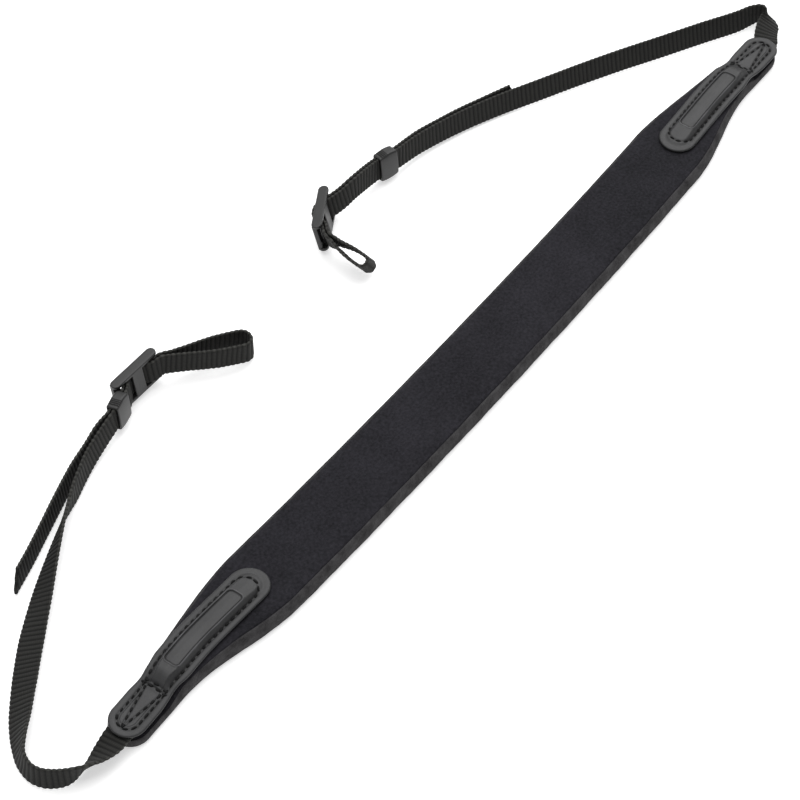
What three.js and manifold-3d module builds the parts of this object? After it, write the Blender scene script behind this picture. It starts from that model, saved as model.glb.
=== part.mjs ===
// Camera neck strap, lying on a surface as it is put down: a foam neck pad, a tab sewn on each
// end of it, and from under each tab a narrow webbing that runs through a keeper and a tri-glide,
// turns in a loop for the camera's lug and comes back through both to a free tail.
// Millimetres. +X runs along the pad, +Z is up, and the origin is the middle of the pad's underside.

import * as THREE from "three";
import { mergeVertices } from "three/addons/utils/BufferGeometryUtils.js";
import Module from "manifold-3d";

const wasm = await Module();
wasm.setup();

// Driving dimensions
const clearance = 0.3; // between pieces that touch on the real strap

const pad = {
  length: 414,
  width: 30.5,
  thickness: 7.5,
  tipWidth: 15.4,
  tipThickness: 4.2, // squeezed flat by the stitching
  // each edge's flare, in distances from the tip: the front one is on the -Y side
  frontFlare: { start: 26, end: 79 },
  backFlare: { start: 18, end: 80 },
  edgeRadius: 2,
  underEdge: 0.6,
};
// The pad lies slightly curved: how far its middle line strays to +Y.
const padBow = [
  { x: -207, shift: 1.9 },
  { x: -190, shift: 2.5 },
  { x: -165, shift: 3.3 },
  { x: -137, shift: 2.4 },
  { x: -95, shift: 1.1 },
  { x: 0, shift: 0 },
  { x: 95, shift: 0.9 },
  { x: 137, shift: 2.2 },
  { x: 165, shift: 3.6 },
  { x: 190, shift: 3.9 },
  { x: 207, shift: 4 },
];

const tab = {
  length: 79.4,
  tipWidth: 14.2,
  width: 15.2,
  waist: { at: 23.5, depth: 0.6, reach: 9 }, // the outline narrows where the cross seam pulls it in
  thickness: 1.3,
  stepStart: 19, // the tab climbs from the thin tip on to the full pad
  stepEnd: 28,
  crownHalf: 4.6, // raised middle, over the webbing
  channelHalf: 5.35,
  footHalf: 6.1,
  crownEnd: 72,
  panel: { from: 30.5, to: 66, width: 6, radius: 1.6, depth: 0.5 },
};

const webbing = {
  width: 10,
  thickness: 1.25,
  hiddenEnd: 58, // how far it reaches under the tab
  pairPitch: 1.55, // between the two layers inside the keeper and the tri-glide
  runStep: 2.5,
  bendStep: 1.1,
  twist: { from: 7, to: 14, share: 0.7 }, // it turns towards the loop on its way out of the tri-glide
  cutSlant: 4.7, // the tail's end is cut at a slant
};

const triGlide = {
  length: 22.6,
  height: 13.3,
  thickness: 4.1,
  rail: 1.35,
  centreBar: { width: 5.4, thickness: 1.2 },
  endBar: { width: 3.4, thickness: 1.9, inset: 0.4 },
};

const keeper = {
  length: 8.4,
  height: 12.5,
  shoulder: 11.1, // height at its two mouths, between the arched ends
  thickness: 4.6,
  edge: 0.5,
};

// The free run of each webbing, from the tab's tip: the middle of its width in plan, the height of
// its lower edge, and its lean to the right of the way it runs (0 stands on edge, 90 lies flat).
const leftRun = [
  { x: -207, y: 1.5, lift: 4.2, lean: -87 },
  { x: -211, y: 1.2, lift: 3.2, lean: -78 },
  { x: -215, y: 1.2, lift: 1.9, lean: -62 },
  { x: -219, y: 1.5, lift: 0.6, lean: -43 },
  { x: -222.6, y: 2.1, lift: 0.2, lean: -26 },
  { x: -225.8, y: 3.1, lift: 0.1, lean: -9 },
  { x: -228.8, y: 4.8, lift: 0.1, lean: 2 },
  { x: -231.4, y: 7.4, lift: 0.1, lean: 6 },
  { x: -233.4, y: 10.7, lift: 0.1, lean: 7 },
  { x: -234.1, y: 15, lift: 0.1, lean: 9 },
  { x: -232.2, y: 20.6, lift: 0.1, lean: 16 },
  { x: -227.2, y: 26.2, lift: 0.1, lean: 33 },
  { x: -218.9, y: 33.2, lift: 0.1, lean: 55 },
  { x: -206.2, y: 42.4, lift: 0.1, lean: 68 },
  { x: -193.8, y: 50.6, lift: 0.1, lean: 71 },
  { x: -178.6, y: 59.3, lift: 0.1, lean: 56 },
  { x: -164.7, y: 66.8, lift: 0.1, lean: 37 },
  { x: -148.8, y: 74.8, lift: 0.1, lean: 16 },
  { x: -138, y: 79.2, lift: 0.1, lean: -2 },
  { x: -124.5, y: 84, lift: 0.8, lean: -8 },
  { x: -114, y: 86, lift: 2.3, lean: -6 },
];
const rightRun = [
  { x: 207, y: 4.3, lift: 4.2, lean: -86 },
  { x: 210.6, y: 6.3, lift: 3.2, lean: -76 },
  { x: 214.8, y: 8.2, lift: 2.1, lean: -66 },
  { x: 219.2, y: 9.8, lift: 1.1, lean: -58 },
  { x: 221.9, y: 12, lift: 0.3, lean: -36 },
  { x: 221.3, y: 15, lift: 0.1, lean: -8 },
  { x: 217.6, y: 17.5, lift: 0.1, lean: 9 },
  { x: 211, y: 20.2, lift: 0.1, lean: 15 },
  { x: 195.8, y: 28.6, lift: 0.1, lean: 17 },
  { x: 179, y: 37.5, lift: 0.1, lean: 17 },
  { x: 162.8, y: 46.3, lift: 0.1, lean: 16 },
  { x: 146, y: 54.8, lift: 0.1, lean: 15 },
  { x: 129, y: 62.9, lift: 0.1, lean: 14 },
  { x: 112.5, y: 70.8, lift: 0.1, lean: 13 },
  { x: 94.4, y: 77.9, lift: 0.4, lean: 11 },
  { x: 74, y: 83.2, lift: 1.4, lean: 8 },
];
// The free tails, from the keeper to the cut end.
const leftTail = [
  { x: -114, y: 88.3, lift: 2.4, lean: 5 },
  { x: -122, y: 87, lift: 1, lean: 4 },
  { x: -131.5, y: 85.2, lift: 0.3, lean: 4 },
  { x: -140, y: 82.7, lift: 0.1, lean: 4 },
  { x: -149, y: 79.7, lift: 0.1, lean: 4 },
  { x: -158, y: 76.6, lift: 0.1, lean: 3 },
  { x: -169, y: 72.9, lift: 0.1, lean: 3 },
  { x: -179.5, y: 69.8, lift: 0.1, lean: 3 },
];
const rightTail = [
  { x: 74.4, y: 84.8, lift: 1.6, lean: -6 },
  { x: 85, y: 82.5, lift: 0.8, lean: -7 },
  { x: 95.1, y: 79.8, lift: 0.4, lean: -7 },
  { x: 107, y: 75.7, lift: 0.1, lean: -7 },
  { x: 121.3, y: 70.3, lift: 0.1, lean: -7 },
];

// The pair of layers through each tri-glide, in its own plane: along the way the webbing runs
// and across to the back, with the centre bar at the front.
const leftPass = [
  { along: -7.8, back: -2.6 },
  { along: -6, back: -1.15 },
  { along: -4.7, back: 0 },
  { along: -3.5, back: 0.72 },
  { along: -1.7, back: 0.9 },
  { along: 0, back: 0.9 },
  { along: 1.7, back: 0.9 },
  { along: 3.5, back: 0.55 },
  { along: 5.2, back: -0.75 },
  { along: 7.4, back: -2.05 },
  { along: 11, back: -2.5 },
];
const rightPass = [
  { along: -15.8, back: -9.5 },
  { along: -10.5, back: -5.7 },
  { along: -6.9, back: -2.2 },
  { along: -5, back: 0.2 },
  { along: -3.5, back: 1.6 },
  { along: -1.7, back: 2.2 },
  { along: 0, back: 2.3 },
  { along: 1.7, back: 2.2 },
  { along: 3.4, back: 1.35 },
  { along: 5.3, back: -0.5 },
  { along: 7.5, back: -2.2 },
  { along: 10.4, back: -3.6 },
  { along: 12.4, back: -5.2 },
];

// Headings are degrees from +X, leans are to the back, and a loop turns to the front and is fully
// open at a share of its length. A tab is set
// in from the pad's tip, and its middle line strays to +Y of the pad's, at its tip and at its end.
const ends = [
  {
    name: "left",
    side: -1,
    tab: { setIn: -0.4, tipShift: -0.4, endShift: 0.6 },
    run: leftRun,
    keeper: { x: -102.2, y: 88.9, z: 8.4, heading: 14, lean: 4, rise: -1 },
    glide: { x: -87.4, y: 93.3, z: 8.3, heading: -2.5, lean: 5, rise: 3 },
    pass: leftPass,
    loop: { turn: 30.3, length: 31, radius: 3.7, open: 0.8, lean: 0, lift: 1.2 },
    tail: leftTail,
  },
  {
    name: "right",
    side: 1,
    tab: { setIn: -0.1, tipShift: -0.9, endShift: -0.5 },
    run: rightRun,
    keeper: { x: 56.2, y: 86.5, z: 7.6, heading: 166, lean: 6, rise: 0 },
    glide: { x: 17.7, y: 87.7, z: 8.2, heading: 209.5, lean: 12, rise: 0 },
    pass: rightPass,
    loop: { turn: 60, length: 15.6, radius: 2.25, open: 0.7, lean: 33, lift: 1.2 },
    tail: rightTail,
  },
];

const up = new THREE.Vector3(0, 0, 1);
const rad = THREE.MathUtils.degToRad;
const { lerp, smoothstep, clamp } = THREE.MathUtils;

const headingOf = (degrees) => new THREE.Vector3(Math.cos(rad(degrees)), Math.sin(rad(degrees)), 0);
const rightOf = (direction) => direction.clone().cross(up).normalize();
const blend = (a, b, t) => a.clone().lerp(b, t).normalize();

// A direction turned towards another that is square to it.
function turned(direction, towards, degrees) {
  const kept = direction.clone().multiplyScalar(Math.cos(rad(degrees)));
  return kept.addScaledVector(towards, Math.sin(rad(degrees)));
}

// Solids

// Closed solid through sections that hold a top row and a bottom row of points each.
// Sections follow the run, and rows go from its right to its left.
function slabGeometry(sections) {
  const columns = sections[0].top.length;
  const position = [];
  for (const section of sections) {
    for (const point of [...section.top, ...section.bottom]) position.push(...point);
  }
  const index = [];
  const top = (i, k) => i * 2 * columns + k;
  const bottom = (i, k) => top(i, k) + columns;
  const quad = (a, b, c, d) => index.push(a, b, c, a, c, d);
  const last = sections.length - 1;
  const left = columns - 1;
  for (let i = 0; i < last; i++) {
    for (let k = 0; k < left; k++) {
      quad(top(i, k), top(i + 1, k), top(i + 1, k + 1), top(i, k + 1));
      quad(bottom(i, k), bottom(i, k + 1), bottom(i + 1, k + 1), bottom(i + 1, k));
    }
    quad(bottom(i, 0), bottom(i + 1, 0), top(i + 1, 0), top(i, 0));
    quad(top(i, left), top(i + 1, left), bottom(i + 1, left), bottom(i, left));
  }
  for (let k = 0; k < left; k++) {
    quad(top(0, k), top(0, k + 1), bottom(0, k + 1), bottom(0, k));
    quad(bottom(last, k), bottom(last, k + 1), top(last, k + 1), top(last, k));
  }
  const geometry = new THREE.BufferGeometry();
  geometry.setAttribute("position", new THREE.Float32BufferAttribute(position, 3));
  geometry.setIndex(index);
  return geometry;
}

function toSolid(geometry) {
  const bare = geometry.clone();
  bare.deleteAttribute("normal");
  bare.deleteAttribute("uv");
  const merged = mergeVertices(bare, 1e-4);
  const vertProperties = merged.attributes.position.array;
  const triVerts = new Uint32Array(merged.index.array);
  return new wasm.Manifold(new wasm.Mesh({ numProp: 3, vertProperties, triVerts }));
}

function toGeometry(solid) {
  const { vertProperties, triVerts } = solid.getMesh();
  const geometry = new THREE.BufferGeometry();
  geometry.setAttribute("position", new THREE.Float32BufferAttribute(vertProperties, 3));
  geometry.setIndex([...triVerts]);
  return geometry;
}

function roundedRect(width, height, radius) {
  const x = width / 2 - radius;
  const y = height / 2 - radius;
  const quarter = Math.PI / 2;
  const shape = new THREE.Shape();
  shape.absarc(x, y, radius, 0, quarter);
  shape.absarc(-x, y, radius, quarter, 2 * quarter);
  shape.absarc(-x, -y, radius, 2 * quarter, 3 * quarter);
  shape.absarc(x, -y, radius, 3 * quarter, 4 * quarter);
  shape.closePath();
  return shape;
}

// A shape raised along Z from one height to another, with its rims rounded over.
function prism(shape, from, to, rim = 0, curveSegments = 4) {
  const geometry = new THREE.ExtrudeGeometry(shape, {
    depth: to - from - 2 * rim,
    bevelEnabled: rim > 0,
    bevelSize: rim,
    bevelThickness: rim,
    bevelOffset: -rim,
    bevelSegments: 2,
    curveSegments,
  });
  return geometry.translate(0, 0, from + rim);
}

// Neck pad

const bowCurve = new THREE.CubicInterpolant(
  padBow.map((row) => row.x),
  padBow.map((row) => row.shift),
  1,
);
const centreY = (x) => bowCurve.evaluate(x)[0];

const padTop = (fromTip) =>
  lerp(pad.tipThickness, pad.thickness, smoothstep(fromTip, tab.stepStart, tab.stepEnd));

function roundEnd(fromEnd, radius) {
  const inward = clamp(fromEnd, 0, radius);
  return Math.sqrt(radius ** 2 - (radius - inward) ** 2);
}

function padHalfWidth(fromTip, { start, end }) {
  const tip = pad.tipWidth / 2;
  const flare = smoothstep(fromTip, start, end);
  return fromTip < tip ? roundEnd(fromTip, tip) : lerp(tip, pad.width / 2, flare);
}

// Rows of one edge of the pad, from the edge inwards.
function padEdgeRows(halfWidth, height) {
  const radius = Math.min(pad.edgeRadius, halfWidth / 2);
  const under = Math.min(pad.underEdge, halfWidth / 4);
  return [0, 0.3, 1].map((share) => ({
    across: halfWidth - radius * share,
    top: height - radius * (1 - Math.sqrt(1 - (1 - share) ** 2)),
    bottom: under * Math.max(0, 1 - (radius * share) / under),
  }));
}

// Distances from a round tip at equal turns of its arc.
function arcDistances(radius, turns) {
  return turns.map((turn) => radius * (1 - Math.cos(rad(turn))));
}

const tipTurns = [14, 28, 42, 56, 70, 90];

function padGeometry() {
  const half = pad.length / 2;
  const nearTip = arcDistances(pad.tipWidth / 2, tipTurns);
  const inward = [...nearTip, 14, 19, 21.5, 24, 26, 28.5, 34, 40, 47, 54, 61, 68, 75, 84, 125, 170];
  const fromLeft = inward.map((d) => ({ x: d - half, fromTip: d }));
  const fromRight = inward.map((d) => ({ x: half - d, fromTip: d })).reverse();
  const sections = [...fromLeft, ...fromRight].map(({ x, fromTip }) => {
    const height = padTop(fromTip);
    const front = padEdgeRows(padHalfWidth(fromTip, pad.frontFlare), height);
    const back = padEdgeRows(padHalfWidth(fromTip, pad.backFlare), height);
    const rows = [...front.map((row) => ({ ...row, across: -row.across })), ...back.reverse()];
    const place = (across, z) => [x, centreY(x) + across, z];
    return {
      top: rows.map((row) => place(row.across, row.top)),
      bottom: rows.map((row) => place(row.across, row.bottom)),
    };
  });
  return slabGeometry(sections);
}

// End tabs

function tabHalfWidth(fromTip) {
  const tip = tab.tipWidth / 2;
  const body = tab.width / 2;
  if (fromTip < tip) return roundEnd(fromTip, tip);
  if (fromTip > tab.length - body) return roundEnd(tab.length - fromTip, body);
  const { at, depth, reach } = tab.waist;
  const pinch = depth * (1 - smoothstep(Math.abs(fromTip - at), 0, reach));
  return lerp(tip, body, smoothstep(fromTip, at, at + reach)) - pinch;
}

// Underside of the tab over the pad: clear of the webbing in the middle, down on the pad at the rim.
const crownBase = (fromTip) => padTop(fromTip) + webbing.thickness + 2 * clearance;

function footBase(fromTip) {
  const pressed = smoothstep(fromTip, tab.stepStart, tab.stepEnd);
  return lerp(crownBase(fromTip), padTop(fromTip) + clearance, pressed);
}

const tabShift = ({ tipShift, endShift }, fromTip) =>
  lerp(tipShift, endShift, smoothstep(fromTip, 8, 46));

function tabGeometry({ side, tab: place }) {
  const tipDistances = arcDistances(tab.tipWidth / 2, tipTurns);
  const endDistances = arcDistances(tab.width / 2, tipTurns).map((d) => tab.length - d);
  const between = [14, 19, 21, 23, 25, 28, 33, 40, 52, 62];
  const distances = [...tipDistances, ...between, ...endDistances.reverse()];
  const sections = distances.map((fromTip) => {
    const x = side * (pad.length / 2 - place.setIn - fromTip);
    const y = centreY(x) + tabShift(place, fromTip);
    const halfWidth = tabHalfWidth(fromTip);
    const scale = Math.min(1, halfWidth / (tab.footHalf + clearance));
    const fade = 1 - smoothstep(fromTip, tab.crownEnd, tab.length - 1);
    const foot = footBase(fromTip);
    const crown = lerp(foot, crownBase(fromTip), fade);
    const middle = (crown + foot) / 2;
    const outward = [
      { across: tab.crownHalf * scale, base: crown, top: crown },
      { across: tab.channelHalf * scale, base: crown, top: middle },
      { across: tab.footHalf * scale, base: foot, top: foot },
      { across: halfWidth, base: foot, top: foot },
    ];
    const rightSide = outward.map((row) => ({ ...row, across: -row.across })).reverse();
    const rows = [...rightSide, ...outward];
    return {
      top: rows.map((row) => [x, y + row.across, row.top + tab.thickness]),
      bottom: rows.map((row) => [x, y + row.across, row.base]),
    };
  });
  return slabGeometry(side < 0 ? sections : sections.reverse());
}

// The tab with its sunk panel, left plain.
function panelledTab(end) {
  const { from, to, width, radius, depth } = tab.panel;
  const crown = crownBase(to) + tab.thickness;
  const middle = (from + to) / 2;
  const x = end.side * (pad.length / 2 - end.tab.setIn - middle);
  const panel = prism(roundedRect(to - from, width, radius), crown - depth, crown + 1);
  panel.translate(x, centreY(x) + tabShift(end.tab, middle), 0);
  return toGeometry(toSolid(tabGeometry(end)).subtract(toSolid(panel)));
}

// Webbing

const halfWidth = webbing.width / 2;
const halfThickness = webbing.thickness / 2;

// Height of the webbing's middle over its lower edge, at a lean.
function standingHeight(lean) {
  return halfWidth * Math.cos(rad(lean)) + halfThickness * Math.abs(Math.sin(rad(lean)));
}

// Stations of a run: where the middle of the webbing is, and which way its upper edge points.
function runStations(rows) {
  return rows.map(({ x, y, lift, lean }, i) => {
    const before = rows[Math.max(0, i - 1)];
    const after = rows[Math.min(rows.length - 1, i + 1)];
    const way = new THREE.Vector3(after.x - before.x, after.y - before.y, 0);
    const edge = turned(up, rightOf(way), lean);
    const height = lift + standingHeight(lean);
    return { middle: new THREE.Vector3(x, y, height), edge };
  });
}

// Stations under the tab, flat on the pad, each with the edge that later stands up.
function sewnStations({ side, tab: place }) {
  const inward = [webbing.hiddenEnd, 44, 32, 28, 26, 24, 22, 20, 17, 11, 5];
  const edge = new THREE.Vector3(0, side, 0);
  return inward.map((fromTip) => {
    const x = side * (pad.length / 2 - fromTip);
    const y = centreY(x) + tabShift(place, fromTip - place.setIn);
    const height = padTop(fromTip) + clearance + halfThickness;
    return { middle: new THREE.Vector3(x, y, height), edge };
  });
}

// Axes of a keeper or tri-glide on the webbing: along the run, to the back, and upright.
function axesOf(end, place) {
  const level = headingOf(place.heading);
  const flatBack = rightOf(level).multiplyScalar(end.side);
  const along = turned(level, up, place.rise);
  const square = turned(up, level, -place.rise);
  const upright = turned(square, flatBack, place.lean);
  const back = turned(flatBack, square, -place.lean);
  return { along, back, upright, middle: new THREE.Vector3(place.x, place.y, place.z) };
}

// The middle between the two layers, from the keeper through the tri-glide to the loop's end.
function pairStations(end) {
  const held = axesOf(end, end.keeper);
  const glide = axesOf(end, end.glide);
  const spread = webbing.pairPitch / 2;
  const reach = keeper.length / 2 + 1;
  const inKeeper = [-reach, 0, reach].map((s) => ({
    middle: held.middle.clone().addScaledVector(held.along, s),
    edge: held.upright,
    spread,
  }));
  const { turn, length, radius, open, lean, lift } = end.loop;
  const way = headingOf(end.glide.heading + end.side * turn);
  const edge = turned(up, rightOf(way), end.side * lean);
  const { from, to, share: most } = webbing.twist;
  const inGlide = end.pass.map(({ along, back }) => {
    const middle = glide.middle.clone().addScaledVector(glide.along, along);
    const before = blend(held.upright, glide.upright, smoothstep(along, -triGlide.length / 2, 0));
    const twist = most * smoothstep(along, from, to);
    return { middle: middle.addScaledVector(glide.back, back), edge: blend(before, edge, twist), spread };
  });
  const { middle: start, edge: leaving } = inGlide.at(-1);
  const lowSide = radius * Math.sin(rad(lean));
  const endHeight = lift + standingHeight(lean) + lowSide;
  const inLoop = [0.14, 0.32, 0.5, 0.68, 0.86, 1].map((share) => {
    const middle = start.clone().addScaledVector(way, length * share);
    middle.z = lerp(start.z, endHeight, share);
    return {
      middle,
      edge: blend(leaving, edge, smoothstep(share, 0, 0.4)),
      spread: lerp(spread, radius, smoothstep(share, 0, open)),
    };
  });
  return [...inKeeper, ...inGlide, ...inLoop];
}

// Even stations along a smooth curve through the given ones.
function resample(stations, step) {
  const curve = new THREE.CatmullRomCurve3(stations.map((s) => s.middle), false, "centripetal");
  const spans = stations.length - 1;
  const made = [];
  for (let i = 0; i < spans; i++) {
    const [a, b] = [stations[i], stations[i + 1]];
    const count = Math.max(1, Math.round(a.middle.distanceTo(b.middle) / step));
    for (let j = 0; j < count; j++) {
      const t = j / count;
      made.push({
        middle: curve.getPoint((i + t) / spans),
        edge: blend(a.edge, b.edge, t),
        spread: lerp(a.spread ?? 0, b.spread ?? 0, t),
      });
    }
  }
  made.push(stations[spans]);
  return made;
}

function tangents(stations) {
  return stations.map((_, i) => {
    const before = stations[Math.max(0, i - 1)].middle;
    const after = stations[Math.min(stations.length - 1, i + 1)].middle;
    return after.clone().sub(before).normalize();
  });
}

// Out along the front layer, round the loop's end and home along the back layer.
function loopStations(end) {
  const pair = resample(pairStations(end), webbing.bendStep);
  const ways = tangents(pair);
  const backs = pair.map((s, i) => ways[i].clone().cross(s.edge).normalize().multiplyScalar(end.side));
  const layer = (sign) =>
    pair.map((s, i) => ({
      middle: s.middle.clone().addScaledVector(backs[i], sign * s.spread),
      edge: s.edge,
    }));
  const tip = pair.at(-1);
  const turns = [30, 60, 90, 120, 150].map((turn) => ({
    middle: tip.middle
      .clone()
      .addScaledVector(backs.at(-1), -tip.spread * Math.cos(rad(turn)))
      .addScaledVector(ways.at(-1), tip.spread * Math.sin(rad(turn))),
    edge: tip.edge,
  }));
  return [...layer(-1), ...turns, ...layer(1).reverse()];
}

function webbingGeometry(end) {
  const stations = [
    ...sewnStations(end),
    ...runStations(end.run),
    ...loopStations(end),
    ...runStations(end.tail),
  ];
  const smooth = resample(stations, webbing.runStep);
  const ways = tangents(smooth);
  const last = smooth.length - 1;
  const sections = smooth.map((station, i) => {
    const way = ways[i];
    const edge = station.edge.clone().addScaledVector(way, -station.edge.dot(way)).normalize();
    const face = way.clone().cross(edge);
    const corner = (across, out) => {
      const point = station.middle.clone();
      point.addScaledVector(edge, across * halfWidth).addScaledVector(face, out * halfThickness);
      if (i === last) point.addScaledVector(way, -across * (webbing.cutSlant / 2));
      return [...point];
    };
    return { top: [corner(1, 1), corner(1, -1)], bottom: [corner(-1, 1), corner(-1, -1)] };
  });
  return slabGeometry(sections);
}

// Tri-glide and keeper, each about its own middle: X along the webbing, +Y to the back, Z upright.

function triGlideGeometry() {
  const { length, height, thickness, rail, centreBar, endBar } = triGlide;
  const top = height / 2;
  const inside = top - rail;
  const overlap = rail / 2;
  const stadium = roundedRect(length, thickness, thickness / 2);
  const bar = (width, depth, along, back) => {
    const geometry = prism(roundedRect(width, depth, 0.45), -inside - overlap, inside + overlap, 0, 2);
    return toSolid(geometry.translate(along, back, 0));
  };
  const front = -thickness / 2;
  const endAlong = length / 2 - endBar.inset - endBar.width / 2;
  const endBack = thickness / 2 - endBar.inset / 2 - endBar.thickness / 2;
  const solid = toSolid(prism(stadium, inside, top, 0.35))
    .add(toSolid(prism(stadium, -top, -inside, 0.35)))
    .add(bar(centreBar.width, centreBar.thickness, 0, front + centreBar.thickness / 2))
    .add(bar(endBar.width, endBar.thickness, endAlong, endBack))
    .add(bar(endBar.width, endBar.thickness, -endAlong, endBack));
  return toGeometry(solid);
}

function keeperGeometry() {
  const { length, height, shoulder, thickness, edge } = keeper;
  const mouth = length / 2;
  const shape = new THREE.Shape();
  shape.moveTo(-mouth, -shoulder / 2);
  shape.quadraticCurveTo(0, shoulder / 2 - height, mouth, -shoulder / 2);
  shape.lineTo(mouth, shoulder / 2);
  shape.quadraticCurveTo(0, height - shoulder / 2, -mouth, shoulder / 2);
  shape.closePath();
  const block = prism(shape, -thickness / 2, thickness / 2, edge, 8).rotateX(Math.PI / 2);
  const slotDepth = webbing.pairPitch + webbing.thickness + 2 * clearance;
  const slot = new THREE.BoxGeometry(2 * length, slotDepth, webbing.width + 2 * clearance);
  return toGeometry(toSolid(block).subtract(toSolid(slot)));
}

// Assembly

function finish(color, roughness) {
  return new THREE.MeshStandardMaterial({ color, roughness, metalness: 0 });
}

function piece(name, geometry, material) {
  const mesh = new THREE.Mesh(geometry, material);
  mesh.name = name;
  return mesh;
}

function stand(mesh, axes, side) {
  const along = axes.along.clone().multiplyScalar(-side);
  const basis = new THREE.Matrix4().makeBasis(along, axes.back, axes.upright);
  mesh.quaternion.setFromRotationMatrix(basis);
  mesh.position.copy(axes.middle);
  return mesh;
}

const strap = new THREE.Group();
strap.add(piece("neck_pad", padGeometry(), finish(0x22222a, 0.95)));
for (const end of ends) {
  const { name, side } = end;
  strap.add(piece(`end_tab_${name}`, panelledTab(end), finish(0x4a4a4c, 0.6)));
  strap.add(piece(`webbing_${name}`, webbingGeometry(end), finish(0x232321, 0.9)));
  const glide = piece(`triglide_${name}`, triGlideGeometry(), finish(0x3c3c3c, 0.5));
  strap.add(stand(glide, axesOf(end, end.glide), side));
  const slide = piece(`keeper_${name}`, keeperGeometry(), finish(0x3c3c3c, 0.5));
  strap.add(stand(slide, axesOf(end, end.keeper), side));
}

export default strap;
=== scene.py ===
import math

import bmesh
import bpy
import numpy as np
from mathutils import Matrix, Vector


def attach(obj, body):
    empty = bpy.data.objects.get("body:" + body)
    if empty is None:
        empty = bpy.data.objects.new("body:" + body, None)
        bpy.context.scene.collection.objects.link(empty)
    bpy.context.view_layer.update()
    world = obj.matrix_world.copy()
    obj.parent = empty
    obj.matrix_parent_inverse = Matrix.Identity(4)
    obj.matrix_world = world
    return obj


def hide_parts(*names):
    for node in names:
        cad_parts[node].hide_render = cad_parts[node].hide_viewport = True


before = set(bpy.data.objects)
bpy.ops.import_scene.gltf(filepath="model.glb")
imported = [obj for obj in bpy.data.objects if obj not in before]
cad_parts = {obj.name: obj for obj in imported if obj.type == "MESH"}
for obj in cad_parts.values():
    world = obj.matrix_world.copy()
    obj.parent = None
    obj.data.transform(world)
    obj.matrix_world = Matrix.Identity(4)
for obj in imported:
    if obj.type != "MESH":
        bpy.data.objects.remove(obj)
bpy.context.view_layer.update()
mm = 0.001  # shapes below are written in millimetres
up = np.array([0.0, 0.0, 1.0])
scene = bpy.context.scene
print("frame loaded:", ", ".join(sorted(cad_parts)))


# small tools for shapes

def ease(value, low, high):
    t = np.clip((np.asarray(value, float) - low) / (high - low), 0, 1)
    return t * t * (3 - 2 * t)


def mix(a, b, share):
    return a + (b - a) * share


def unit(vectors):
    return vectors / np.linalg.norm(vectors, axis=-1, keepdims=True)


def ridge(distance, width):
    return np.exp(-(np.asarray(distance) / width) ** 2)


def ringFaces(rings, count):
    ring = np.arange(rings - 1)[:, None] * count
    here = np.arange(count)[None, :]
    ahead = (here + 1) % count
    quads = np.stack([ring + here, ring + ahead, ring + count + ahead, ring + count + here], axis=-1)
    return quads.reshape(-1, 4)


def addObject(name, data):
    made = bpy.data.objects.new(name, data)
    scene.collection.objects.link(made)
    return made


def smoothAll(mesh):
    mesh.polygons.foreach_set("use_smooth", np.ones(len(mesh.polygons), bool))


def makePiece(name, points, faces, materials, faceSlots=None, attributes=None):
    mesh = bpy.data.meshes.new(name)
    mesh.from_pydata((np.asarray(points) * mm).tolist(), [], [list(map(int, f)) for f in faces])
    for material in materials:
        mesh.materials.append(material)
    if faceSlots is not None:
        mesh.polygons.foreach_set("material_index", np.asarray(faceSlots, np.int32))
    for label, values in (attributes or {}).items():
        kind, field = ("FLOAT", "value") if np.ndim(values) == 1 else ("FLOAT_VECTOR", "vector")
        flatValues = np.asarray(values, np.float32).ravel()
        mesh.attributes.new(label, kind, "POINT").data.foreach_set(field, flatValues)
    work = bmesh.new()
    work.from_mesh(mesh)
    bmesh.ops.remove_doubles(work, verts=work.verts, dist=2e-6)  # closes poles and seams
    bmesh.ops.recalc_face_normals(work, faces=work.faces)
    work.to_mesh(mesh)
    work.free()
    smoothAll(mesh)
    return addObject(name, mesh)


# outline of a long shape with two round ends, each point with the point of the middle line it shrinks to
def capsule(length, tipRadius, endRadius, sideWidth, step, arcSteps):
    turn = np.linspace(0, math.pi / 2, arcSteps + 1)
    count = int(round((length - tipRadius - endRadius) / step))
    u = np.linspace(tipRadius, length - endRadius, count + 1)[1:-1]
    tipU, tipW = tipRadius * (1 - np.cos(turn)), tipRadius * np.sin(turn)
    endU, endW = length - endRadius * (1 - np.cos(turn[::-1])), endRadius * np.sin(turn[::-1])
    foot = np.concatenate([np.full(len(turn), tipRadius), u, np.full(len(turn), length - endRadius)])
    sides = []
    for sign in (1, -1):
        w = sign * np.concatenate([tipW, sideWidth(u, sign), endW])
        sides.append(np.stack([np.concatenate([tipU, u, endU]), w, foot], axis=-1))
    loop = np.concatenate([sides[0], sides[1][-2:0:-1]])
    return {"u": loop[:, 0], "w": loop[:, 1], "foot": loop[:, 2],
            "half": np.hypot(loop[:, 0] - loop[:, 2], loop[:, 1])}


def inward(loop, inset):
    share = inset / loop["half"]
    return mix(loop["u"], loop["foot"], share), loop["w"] * (1 - share)


# small tools for node trees

def addNode(tree, kind, inputs=None, **settings):
    made = tree.nodes.new(kind)
    for label, value in settings.items():
        setattr(made, label, value)
    for label, value in (inputs or {}).items():
        if isinstance(value, bpy.types.NodeSocket):
            tree.links.new(value, made.inputs[label])
        else:
            made.inputs[label].default_value = value
    return made


def mathNode(tree, operation, *values):
    return addNode(tree, "ShaderNodeMath", dict(enumerate(values)), operation=operation).outputs[0]


def newTree(name, inputs):
    tree = bpy.data.node_groups.new(name, "GeometryNodeTree")
    tree.interface.new_socket("Geometry", in_out="INPUT", socket_type="NodeSocketGeometry")
    for label, kind in inputs.items():
        tree.interface.new_socket(label, in_out="INPUT", socket_type="NodeSocket" + kind)
    tree.interface.new_socket("Geometry", in_out="OUTPUT", socket_type="NodeSocketGeometry")
    return tree, tree.nodes.new("NodeGroupInput").outputs


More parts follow.
